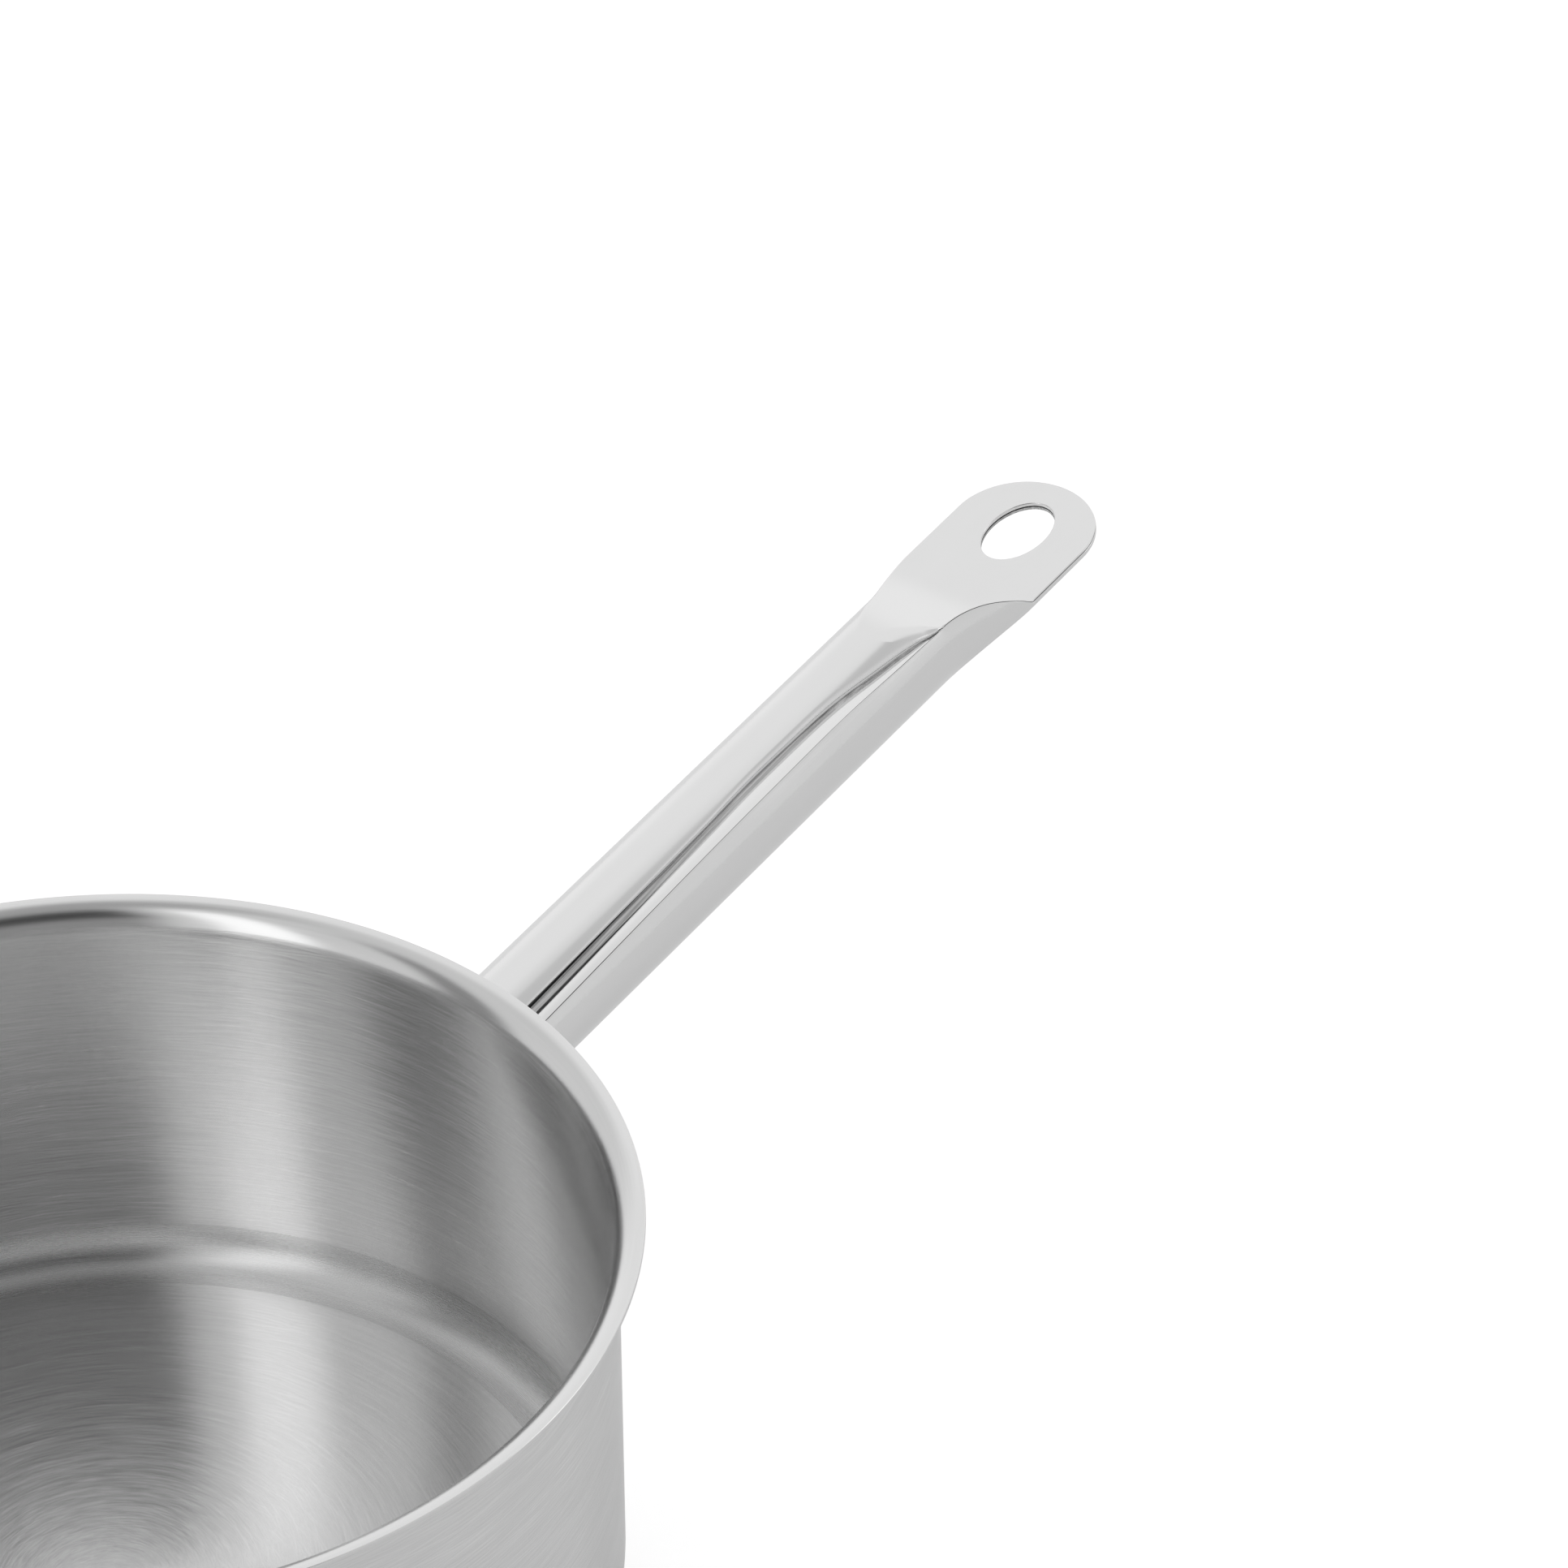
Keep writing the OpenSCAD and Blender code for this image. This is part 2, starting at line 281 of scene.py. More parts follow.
def half_width(x):
    """Half the width of the handle, which grows from the grip to the tab."""
    return TUBE_R + (TIP_R - TUBE_R) * blend((x - GRIP_LEN) / (PRESS_LEN + TAB_T))


class Section:
    """One cut across the handle: the tube pressed flat above and below, turned by tip_turn at the tip.

    Its lengths go round it from the middle of the top: pressed top, standing wall, right side, underside,
    left side and top again. Where folds is true, the length ends in a fold rounded to its fold radius."""

    def __init__(self, x, tip_turn=0.0):
        self.x = x
        self.turn = math.radians(tip_turn)
        self.wider = half_width(x) - TUBE_R
        self.left, self.right = left_height(x), right_height(x)
        self.left_fold, self.right_fold = math.acos(self.left / TUBE_R), math.acos(self.right / TUBE_R)
        self.left_reach = self.wider + TUBE_R * math.sin(self.left_fold)
        self.right_reach = self.wider + TUBE_R * math.sin(self.right_fold)
        self.valley = max(self.right_reach - WALL_LEAN * (self.right - self.left), 0)
        self.lengths = (self.valley, math.hypot(self.right_reach - self.valley, self.right - self.left),
                        TUBE_R * (math.pi - self.left_fold - self.right_fold), 2 * self.left_reach,
                        TUBE_R * (math.pi - 2 * self.left_fold), self.left_reach)
        self.round_len = sum(self.lengths)
        stands, pressed = self.right > self.left, self.left_fold > 0
        self.folds = (stands, stands or self.right_fold > 0, pressed, pressed, pressed, False)
        tightened = blend((x - FOLD_TIGHTENS_FROM) / FOLD_TIGHTENS_OVER)
        ramp_fold = RAMP_FOLD_R + (FOLD_R - RAMP_FOLD_R) * tightened
        ramp_fold = max(min(ramp_fold, RAMP_FOLD_SHARE * self.valley), FOLD_R)
        self.fold_radii = (ramp_fold, ramp_fold, FOLD_R, FOLD_R, FOLD_R, FOLD_R)

    def place_at(self, angle):
        """Distance round the section to the place at that angle on the tube's right side."""
        return self.lengths[0] + self.lengths[1] + TUBE_R * (angle - self.right_fold)

    def folded(self, s):
        """Point across and up at distance s from the middle of the top, before the folds are rounded."""
        m = s % self.round_len
        flat, rise, side, below, far, left = self.lengths
        if m <= flat:
            return Vector((m, self.left))
        m -= flat
        if m <= rise:
            u = m / rise
            return Vector((self.valley + (self.right_reach - self.valley) * u,
                           self.left + (self.right - self.left) * u))
        m -= rise
        if m <= side:
            angle = self.right_fold + m / TUBE_R
            return Vector((self.wider + TUBE_R * math.sin(angle), TUBE_R * math.cos(angle)))
        m -= side
        if m <= below:
            return Vector((self.left_reach - m, -self.left))
        m -= below
        if m <= far:
            angle = self.left_fold + m / TUBE_R
            return Vector((-self.wider - TUBE_R * math.sin(angle), -TUBE_R * math.cos(angle)))
        return Vector((m - far - left, self.left))

    def rounded(self, s):
        """The same point with the folds rounded."""
        m = s % self.round_len
        corner = 0
        for length, bends, radius in zip(self.lengths, self.folds, self.fold_radii):
            corner += length
            if bends and abs(m - corner) < radius:
                u = (m - corner + radius) / (2 * radius)
                before, fold, after = (self.folded(corner + away) for away in (-radius, 0, radius))
                return before * (1 - u) ** 2 + fold * 2 * u * (1 - u) + after * u * u
        return self.folded(m)

    def at(self, s, depth):
        """Point at distance s round the section from the top, and at that depth under the surface."""
        across, z = self.rounded(s)
        if depth:
            run = self.rounded(s + DIRECTION_STEP) - self.rounded(s - DIRECTION_STEP)
            run.normalize()
            across, z = across + depth * run.y, z - depth * run.x
        reach = max(abs(across), TIP_R - TAB_T / 2)
        return Vector((self.x + reach * math.sin(self.turn), -across * math.cos(self.turn), z))


def seen_angle(across):
    """Angle from the tube's top to the place on it that the camera sees that far right of its middle."""
    return math.radians(SEEN_FROM) + math.asin(across / TUBE_R)


def seam_floor(section, angle):
    """Left end of the seam's floor, as an angle from the top and a depth, and its right end's depth."""
    width = eased(SLOT_WIDTH, section.x / GRIP_LEN) * 2 * TUBE_R * (1 + MIRRORED_SHARE)
    depth = SHUT_DEPTH + (OPEN_DEPTH - SHUT_DEPTH) * blend(width / FULLY_OPEN_W)
    tilt = math.radians(SEAM_FLOOR_TILT)
    run = width / math.cos(math.radians(SEEN_FROM) - tilt)
    y = (TUBE_R - depth) * math.sin(angle) - run * math.cos(tilt)
    z = (TUBE_R - depth) * math.cos(angle) + run * math.sin(tilt)
    return (math.atan2(y, z), TUBE_R - math.hypot(y, z)), depth


def left_lip(section, angle, deep, right_lip):
    """Left lip of the seam, from where it leaves the tube down to the seam's floor.

    Its rounded edge is followed by the sheared edge of the sheet, with a gap above it near the pan that is
    painted near-black as shade."""
    share = section.x / GRIP_LEN
    cut = eased(CUT_WIDTH, share)
    opening = GAP_W * max(1 - section.x / GAP_LEN, 0)
    foot = min(section.place_at(angle), right_lip - HAIRLINE_W)
    foot_seen = (TUBE_R - deep) * math.sin(angle - math.radians(SEEN_FROM))
    seen = section.place_at(seen_angle(foot_seen - cut - opening))
    edge = seen + (foot - cut - seen) * blend((section.x - SHUTS_FROM) / (GRIP_LEN - SHUTS_FROM))
    edge = min(edge, foot - HAIRLINE_W)
    long = math.hypot(foot - edge, deep)
    soft = min(eased(EDGE_SOFTNESS, share), LIP_BEND_SHARE * long)
    along, down = (foot - edge) / long, deep / long
    points = []
    for i in range(LIP_BEND_STEPS + 1):
        u = i / LIP_BEND_STEPS
        points.append((edge - soft * (1 - u) ** 2 + soft * along * u * u, soft * down * u * u))
    gap = max(opening / (cut + opening) * long - soft, 0)
    for out, into in GAP_HOLLOW:
        reach = soft + out * gap
        points.append((edge + reach * along - into * gap * down, reach * down + into * gap * along))
    start = soft + gap
    for i in range(CUT_STEPS + 1):
        reach = start + (long - start) * i / CUT_STEPS
        ridge = CUT_RIDGE * (i % 2) * (section.x < GRIP_LEN)
        points.append((edge + reach * along - ridge * down, reach * down + ridge * along))
    return points


def section_outline(section):
    """Outline of the rolled sheet: round the outside, down the left lip, along the floor, up the right."""
    seam = math.radians(eased(SEAM_ANGLE, section.x))
    right_lip = end = section.place_at(seam)
    (foot_angle, deep), end_depth = seam_floor(section, seam)
    lip_down = left_lip(section, foot_angle, deep, right_lip)
    foot = lip_down[-1][0]
    lip = min(RIGHT_LIP_R, RIGHT_LIP_SHARE * end_depth)
    points = [(s, 0.0) for s in spread(section, right_lip + lip, lip_down[0][0] + section.round_len)]
    points += lip_down[1:]
    for i in range(1, SEAM_FLOOR_STEPS + 1):
        share = i / SEAM_FLOOR_STEPS
        points.append((foot + (end - foot) * share, deep + (end_depth - deep) * share))
    for i in range(RIGHT_LIP_STEPS):
        angle = math.pi / 2 * i / RIGHT_LIP_STEPS
        points.append((right_lip + lip - lip * math.cos(angle), lip - lip * math.sin(angle)))
    points.append(points[0])
    return points


def spread(section, first, last):
    """Distances round the section from first to last, with rows that stay on the folds along the handle."""
    flat, rise, side, below, far = section.lengths[:5]
    folds = [flat + rise + side]
    folds += [folds[0] + below, folds[0] + below + far, section.round_len + flat]
    knots = [first]
    for fold, radius in zip(folds, section.fold_radii[2:5] + section.fold_radii[:1]):
        knots += [fold - radius - FOLD_MARGIN, fold - radius, fold + radius, fold + radius + FOLD_MARGIN]
    knots.append(last)
    for i in range(1, len(knots)):
        highest = last - CLOSEST_ROWS * (len(knots) - 1 - i)
        knots[i] = min(max(knots[i], knots[i - 1] + CLOSEST_ROWS), highest)
    places = []
    for start, end, steps in zip(knots, knots[1:], ROWS):
        places += [start + (end - start) * i / steps for i in range(steps)]
    return places + [last]


def stretch(start, end, steps):
    """Sections from start up to end, without the last."""
    return [Section(start + (end - start) * i / steps) for i in range(steps)]


def handle_stations():
    """Sections from the root to the tip, which the last ones sweep round in a quarter turn."""
    tip = [Section(TIP_X, 90.0 * i / TIP_STATIONS) for i in range(TIP_STATIONS + 1)]
    return (stretch(ROOT_GAP, RAMP_START, GRIP_STATIONS) + stretch(RAMP_START, FLAT_FROM, PRESS_STATIONS)
            + stretch(FLAT_FROM, TIP_X, TAB_STATIONS) + tip)


def new_piece(name, bm, *materials):
    """Smooth-shaded object from the bmesh, with the materials in that order."""
    mesh = bpy.data.meshes.new(name)
    bm.to_mesh(mesh)
    bm.free()
    for material in materials:
        mesh.materials.append(material)
    piece = bpy.data.objects.new(name, mesh)
    bpy.context.scene.collection.objects.link(piece)
    for polygon in mesh.polygons:
        polygon.use_smooth = True
    return piece


def hole_ring(bm, reach, z):
    """Closed oval ring of edges round the hanging hole, outside its wall by the reach."""
    place = (Matrix.Translation((HOLE_X, 0, z))
             @ Matrix.Diagonal((HOLE_L / 2 + reach, HOLE_W / 2 + reach, 1, 1)))
    made = bmesh.ops.create_circle(bm, segments=HOLE_STEPS, radius=1, matrix=place)
    return list(dict.fromkeys(edge for vert in made["verts"] for edge in vert.link_edges))


def next_hole_ring(bm, ring, last, reach, z):
    """Extrudes the ring, which lies at the last reach and height, to the new ones."""
    made = bmesh.ops.extrude_edge_only(bm, edges=ring)["geom"]
    verts = [item for item in made if isinstance(item, bmesh.types.BMVert)]
    centre = Matrix.Translation((HOLE_X, 0, 0))
    wider = Matrix.Diagonal(((HOLE_L / 2 + reach) / (HOLE_L / 2 + last[0]),
                             (HOLE_W / 2 + reach) / (HOLE_W / 2 + last[0]), 1, 1))
    move = Matrix.Translation((0, 0, z - last[1]))
    bmesh.ops.transform(bm, matrix=move @ centre @ wider @ centre.inverted(), verts=verts)
    edges = [item for item in made if isinstance(item, bmesh.types.BMEdge)]
    return [edge for edge in edges if set(edge.verts) <= set(verts)]


def hole_profile():
    """Wall of the hanging hole from the top down: rounded edge, upper sheet, gap, and the same below."""
    upper = [(HOLE_EDGE_R + HOLE_MARGIN, TAB_T / 2)]
    for i in range(HOLE_EDGE_STEPS + 1):
        angle = math.radians(90 * i / HOLE_EDGE_STEPS)
        drop = HOLE_EDGE_R * (1 - math.cos(angle))
        upper.append((HOLE_EDGE_R * (1 - math.sin(angle)), TAB_T / 2 - drop))
    half_gap = SHEET_GAP / 2
    upper.append((0, half_gap + SHEET_EDGE_R))
    upper.append((SHEET_EDGE_CUT, half_gap + SHEET_EDGE_CUT))
    upper.append((SHEET_EDGE_R, half_gap))
    upper.append((SHEET_GAP_DEPTH, half_gap))
    return upper + [(reach, -z) for reach, z in reversed(upper)]


def near_hole(face):
    """Whether the face is on one of the tab's two flats, and so near the hole that its fill replaces it."""
    middle = face.calc_center_median()
    away = math.hypot((middle.x - HOLE_X) / (HOLE_L / 2 + HOLE_FILL_GAP),
                      middle.y / (HOLE_W / 2 + HOLE_FILL_GAP))
    return away < 1 and all(abs(abs(vert.co.z) - TAB_T / 2) < SAME_PLACE for vert in face.verts)


def cut_hanging_hole(bm):
    """Opens the oval hole in the flat tab and gives it a wall between the two faces."""
    bmesh.ops.delete(bm, geom=[face for face in bm.faces if near_hole(face)], context="FACES")
    profile = hole_profile()
    top_ring = ring = hole_ring(bm, *profile[0])
    for last, new in zip(profile, profile[1:]):
        made = set(bm.faces)
        ring = next_hole_ring(bm, ring, last, *new)
        middle = (last[1] + new[1]) / 2
        for face in set(bm.faces) - made:
            # Painted shade: near-black steel at the sheet gap and just past it
            if abs(middle) < SHEET_GAP / 2 + PAINTED_SHADE_BEYOND_GAP:
                face.material_index = PAINTED_SHADE_FINISH
            elif abs(middle) < TAB_T / 2 - HOLE_EDGE_R:
                # Painted light: the upper sheet's wall is near-white, while the lower one takes the sheared
                # edge's steel
                face.material_index = LIT_HOLE_FINISH if middle > 0 else CUT_FINISH
    for inner, z in ((top_ring, TAB_T / 2), (ring, -TAB_T / 2)):
        outer = [edge for edge in bm.edges if edge.is_boundary and edge not in inner
                 and all(abs(vert.co.z - z) < SAME_PLACE for vert in edge.verts)]
        bmesh.ops.triangle_fill(bm, edges=inner + outer, use_beauty=True, use_dissolve=False)


def seam_finish(x, row):
    """Place of the finish that the handle has at that distance along it, in that row of its outline."""
    if CUT_FIRST <= row < SEAM_FLOOR_FIRST:
        # Past the grip, the sheared edge is painted near-black as shade
        return CUT_FINISH if x < GRIP_LEN else PAINTED_SHADE_FINISH
    # Painted shade: the gap over the sheared edge is near-black near the pan
    if GAP_FIRST <= row < CUT_FIRST and x < PAINTED_SHADE_SHARE * GAP_LEN:
        return PAINTED_SHADE_FINISH
    # Painted light: the seam's floor on the grip gets a lighter, smoother copy of the handle's steel
    if SEAM_FLOOR_FIRST <= row < RIGHT_LIP_FIRST and x < GRIP_LEN:
        return PAINTED_LIGHT_FINISH
    # Painted shade: the right lip's edge row is near-black, as its thin dark line
    return PAINTED_SHADE_FINISH if row == RIGHT_LIP_FIRST else 0


def rolled_handle(*finishes):
    """Rolls a flat sheet into the handle, section by section, then cuts its hole and tilts it."""
    stations = handle_stations()
    outlines = [section_outline(section) for section in stations]
    steps = len(stations) - 1
    bm = bmesh.new()
    bmesh.ops.create_grid(bm, x_segments=steps, y_segments=OUTLINE_STEPS, size=0.5)
    for face in bm.faces:
        middle = face.calc_center_median()
        x = stations[int((middle.x + 0.5) * steps)].x
        face.material_index = seam_finish(x, int((middle.y + 0.5) * OUTLINE_STEPS))
    for vert in bm.verts:
        i = round((vert.co.x + 0.5) * steps)
        j = round((vert.co.y + 0.5) * OUTLINE_STEPS)
        vert.co = stations[i].at(*outlines[i][j])
    bmesh.ops.remove_doubles(bm, verts=bm.verts, dist=SAME_PLACE)
    bmesh.ops.holes_fill(bm, edges=[edge for edge in bm.edges if edge.is_boundary], sides=0)
    cut_hanging_hole(bm)
    bmesh.ops.recalc_face_normals(bm, faces=bm.faces)
    place = (Matrix.Translation(Vector((WALL_R, 0, ROOT_Z)) * MM)
             @ Matrix.Rotation(math.radians(-HANDLE_TILT), 4, "Y") @ Matrix.Scale(MM, 4))
    bmesh.ops.transform(bm, matrix=place, verts=bm.verts)
    piece = new_piece("rolled_handle", bm, *finishes)
    piece.data.set_sharp_from_angle(angle=math.radians(HANDLE_SHARP_ANGLE))
    return piece


def profile_line(bm, vert, x, z):
    """Straight step of the pan's section to that place, which it returns."""
    new = bmesh.ops.extrude_vert_indiv(bm, verts=[vert])["verts"][0]
    new.co = Vector((x, 0, z)) * MM
    return new


def profile_arc(bm, vert, x, z, degrees, steps):
    """Arc of the pan's section round the centre at x and z, of which it returns the end."""
    made = bmesh.ops.spin(bm, geom=[vert], cent=Vector((x, 0, z)) * MM, axis=(0, 1, 0),
                          angle=math.radians(degrees), steps=steps, use_merge=False)
    return next(item for item in made["geom_last"] if isinstance(item, bmesh.types.BMVert))


def pan_section(bm):
    """Section of the pan: floor, corner, inner wall and flare, then back under the rim to the underside."""
    rim_r = PAN_INNER_R + RIM_FLARE
    edge_r = rim_r - RIM_EDGE_R
    under_rim = RIM_Z - PAN_SHEET_T + RIM_EDGE_R
    flare = 90 - math.degrees(math.asin(RIM_EDGE_R / RIM_FLARE))
    wall_h = FLARE_Z - CORNER_Z
    vert = bm.verts.new(Vector((0, 0, FLOOR_Z)) * MM)
    for i in range(1, FLOOR_RINGS + 1):
        vert = profile_line(bm, vert, FLAT_R * i / FLOOR_RINGS, FLOOR_Z)
    vert = profile_arc(bm, vert, FLAT_R, CORNER_Z, -90, CORNER_RINGS)
    for i in range(1, INNER_WALL_RINGS + 1):
        vert = profile_line(bm, vert, PAN_INNER_R, CORNER_Z + wall_h * i / INNER_WALL_RINGS)
    vert = profile_arc(bm, vert, rim_r, FLARE_Z, flare, INNER_FLARE_RINGS)
    vert = profile_arc(bm, vert, edge_r, RIM_Z - RIM_EDGE_R, 90, EDGE_RINGS)
    vert = profile_line(bm, vert, rim_r, under_rim)
    vert = profile_arc(bm, vert, edge_r, under_rim, 90, EDGE_RINGS)
    vert = profile_arc(bm, vert, rim_r, FLARE_Z, -flare, OUTER_FLARE_RINGS)
    for i in range(1, OUTER_WALL_RINGS + 1):
        vert = profile_line(bm, vert, WALL_R, FLARE_Z - wall_h * i / OUTER_WALL_RINGS)
    vert = profile_arc(bm, vert, FLAT_R, CORNER_Z, 90, CORNER_RINGS)
    profile_line(bm, vert, 0, UNDER_Z)


def pan_finish(r, z):
    """Place of the finish that the pan has at that distance from its axis and that height."""
    if z > FLARE_Z + POLISH_STARTS:
        return RIM_FINISH
    if r < FLAT_R and z > FLOOR_Z - PAN_SHEET_T / 2:
        return FLOOR_FINISH
    if r < PAN_INNER_R and FLOOR_Z < z < CORNER_Z:
        return CORNER_FINISH
    return 0


def spun_pan(*finishes):
    """Pan drawn from one sheet, spun from its section."""
    bm = bmesh.new()
    pan_section(bm)
    bmesh.ops.remove_doubles(bm, verts=bm.verts, dist=SAME_PLACE * MM)
    bmesh.ops.spin(bm, geom=bm.verts[:] + bm.edges[:], cent=(0, 0, 0), axis=(0, 0, 1),
                   angle=math.tau, steps=PAN_STEPS_ROUND, use_merge=True)
    bmesh.ops.remove_doubles(bm, verts=bm.verts, dist=SAME_PLACE * MM)
    bmesh.ops.recalc_face_normals(bm, faces=bm.faces)
    for face in bm.faces:
        middle = face.calc_center_median() / MM
        face.material_index = pan_finish(math.hypot(middle.x, middle.y), middle.z)
    piece = new_piece("spun_pan", bm, *finishes)
    piece.data.set_sharp_from_angle(angle=math.radians(PAN_SHARP_ANGLE))
    return piece


def node(tree, kind, *values, **settings):
    """Adds a node; each value is a number for the input at its place, or the output linked to it."""
    made = tree.nodes.new(kind)
    for key, value in settings.items():
        setattr(made, key, value)
    for socket, value in zip(made.inputs, values):
        if isinstance(value, bpy.types.NodeSocket):
            tree.links.new(value, socket)
        else:
            socket.default_value = value
    return made.outputs[0] if made.outputs else None


def math_node(tree, operation, *values):
    """Result of one sum on the values."""
    return node(tree, "ShaderNodeMath", *values, operation=operation)


def step(tree, value, low, high, at_low=0.0, at_high=1.0):
    """Smooth step from at_low to at_high as the value passes from low to high."""
    made = tree.nodes.new("ShaderNodeMapRange")
    made.interpolation_type = "SMOOTHSTEP"
    for name, number in (("From Min", low), ("From Max", high), ("To Min", at_low), ("To Max", at_high)):
        made.inputs[name].default_value = number
    tree.links.new(value, made.inputs["Value"])
    return made.outputs["Result"]


def mixed(tree, share, first, second):
    """Value between first and second, at that share of the way."""
    made = tree.nodes.new("ShaderNodeMix")
    for name, value in (("Factor", share), ("A", first), ("B", second)):
        socket = next(s for s in made.inputs if s.name == name and s.type == "VALUE")
        if isinstance(value, bpy.types.NodeSocket):
            tree.links.new(value, socket)
        else:
            socket.default_value = value
    return made.outputs[0]


def parts(tree, vector):
    """The vector's three parts."""
    split = node(tree, "ShaderNodeSeparateXYZ", vector).node
    return split.outputs["X"], split.outputs["Y"], split.outputs["Z"]


def turned(tree, vector, axis, degrees):
    """The vector turned about that axis."""
    made = node(tree, "ShaderNodeVectorRotate", vector, rotation_type=axis)
    made.node.inputs["Angle"].default_value = math.radians(degrees)
    return made


def seen_directly(tree, path):
    """One for the camera's own rays and for those that pass through something clear."""
    return math_node(tree, "MAXIMUM", path.outputs["Is Camera Ray"], path.outputs["Is Transmission Ray"])


def white_floor():
    """Floor that stays white to the camera, and that metal mirrors brighter at the back than in front."""
    bm = bmesh.new()
    bmesh.ops.create_grid(bm, x_segments=1, y_segments=1, size=WHITE_FLOOR_HALF * MM)
    material = bpy.data.materials.new("pale_floor")
    material.use_nodes = True
    tree = material.node_tree
    tree.nodes.clear()
    y = parts(tree, tree.nodes.new("ShaderNodeTexCoord").outputs["Object"])[1]
    path = tree.nodes.new("ShaderNodeLightPath")
    share = step(tree, y, FRONT_Y * MM, BACK_Y * MM, FRONT_SHARE, BACK_SHARE)
    mirrored = math_node(tree, "MULTIPLY", path.outputs["Is Glossy Ray"], share)
    lit = math_node(tree, "MAXIMUM", seen_directly(tree, path), mirrored)
    glow = node(tree, "ShaderNodeEmission")
    tree.links.new(math_node(tree, "MULTIPLY", lit, WHITE_FLOOR_GLOW), glow.node.inputs["Strength"])
    diffuse = node(tree, "ShaderNodeBsdfDiffuse", (*[WHITE_FLOOR_GREY] * 3, 1))
    node(tree, "ShaderNodeOutputMaterial", node(tree, "ShaderNodeAddShader", diffuse, glow))
    new_piece("floor", bm, material)


# Finishes. Each effect is a node group that takes the place on the piece and gives values only.
def effect(name, *outputs):
    """Starts a node group with those outputs, and gives it, the place in millimetres, and its end."""
    tree = bpy.data.node_groups.new(name, "ShaderNodeTree")
    tree.interface.new_socket(name="Place", in_out="INPUT", socket_type="NodeSocketVector")
    for output in outputs:
        tree.interface.new_socket(name=output, in_out="OUTPUT", socket_type="NodeSocketFloat")
    start = tree.nodes.new("NodeGroupInput")
    place = node(tree, "ShaderNodeVectorMath", start.outputs["Place"], operation="SCALE")
    place.node.inputs["Scale"].default_value = 1 / MM
    return tree, place, tree.nodes.new("NodeGroupOutput")


def grain(tree, x, y, z, scales, detail):
    """Noise at that many grains along each of the three measures."""
    scaled = [math_node(tree, "MULTIPLY", value, scale) for value, scale in zip((x, y, z), scales)]
    vector = node(tree, "ShaderNodeCombineXYZ", *scaled)
    noise = tree.nodes.new("ShaderNodeTexNoise")
    noise.inputs["Scale"].default_value = 1
    noise.inputs["Detail"].default_value = detail
    tree.links.new(vector, noise.inputs["Vector"])
    return noise.outputs[0]


def scratches(tree, around, run, z, slope, scales):
    """Sparse long scratches that climb by the slope on their way round."""
    tilted = math_node(tree, "ADD", run, math_node(tree, "MULTIPLY", around, slope))
    return step(tree, grain(tree, around, tilted, z, scales, detail=1), SCRATCH_FROM, SCRATCH_FULL)


def lines_round_the_pan():
    """Brushed lines round the axis, broader streaks, sparse tilted scratches and soft patches of use."""
    tree, place, end = effect("lines_round_the_pan", "Fine", "Streaks", "Scratches", "Patches")
    x, y, z = parts(tree, place)
    squares = math_node(tree, "ADD", math_node(tree, "MULTIPLY", x, x), math_node(tree, "MULTIPLY", y, y))
    r = math_node(tree, "MAXIMUM", math_node(tree, "SQRT", squares), NEAREST_AXIS)
    to_x, to_y = math_node(tree, "DIVIDE", x, r), math_node(tree, "DIVIDE", y, r)
    run = math_node(tree, "ADD", r, z)
    around = math_node(tree, "MULTIPLY", math_node(tree, "ARCTAN2", y, x), PAN_INNER_R)
    rising = scratches(tree, around, run, z, SCRATCH_RISE, RISING_SCRATCHES)
    falling = scratches(tree, around, run, z, -SCRATCH_FALL, FALLING_SCRATCHES)
    tree.links.new(grain(tree, to_x, to_y, run, ROUND_FINE, detail=2), end.inputs["Fine"])
    tree.links.new(grain(tree, to_x, to_y, run, ROUND_STREAKS, detail=2), end.inputs["Streaks"])
    tree.links.new(math_node(tree, "MAXIMUM", rising, falling), end.inputs["Scratches"])
    tree.links.new(grain(tree, x, y, z, ROUND_PATCHES, detail=3), end.inputs["Patches"])
    return tree


def lines_along_the_handle():
    """Faint polishing lines along the handle, broader strands, and soft patches left by hands."""
    tree, place, end = effect("lines_along_the_handle", "Fine", "Strands", "Patches")
    x, y, z = parts(tree, turned(tree, place, "Y_AXIS", HANDLE_TILT))
    tree.links.new(grain(tree, x, y, z, LONG_FINE, detail=3), end.inputs["Fine"])
    tree.links.new(grain(tree, x, y, z, LONG_STRANDS, detail=1), end.inputs["Strands"])
    tree.links.new(grain(tree, x, y, z, LONG_PATCHES, detail=3), end.inputs["Patches"])
    return tree


def pitted_skin():
    """Fine even grain of cast or ground metal, and softer dents under it."""
    tree, place, end = effect("pitted_skin", "Fine", "Dents")
    x, y, z = parts(tree, place)
    tree.links.new(grain(tree, x, y, z, SKIN_FINE, detail=3), end.inputs["Fine"])
    tree.links.new(grain(tree, x, y, z, SKIN_DENTS, detail=2), end.inputs["Dents"])
    return tree


def moved(tree, look, level, *effects):
    """The level, moved by each effect's distance from its middle times its share."""
    for key, share, middle in effects:
        away = math_node(tree, "SUBTRACT", look.outputs[key], middle)
        level = math_node(tree, "ADD", math_node(tree, "MULTIPLY", away, share), level)
    return level


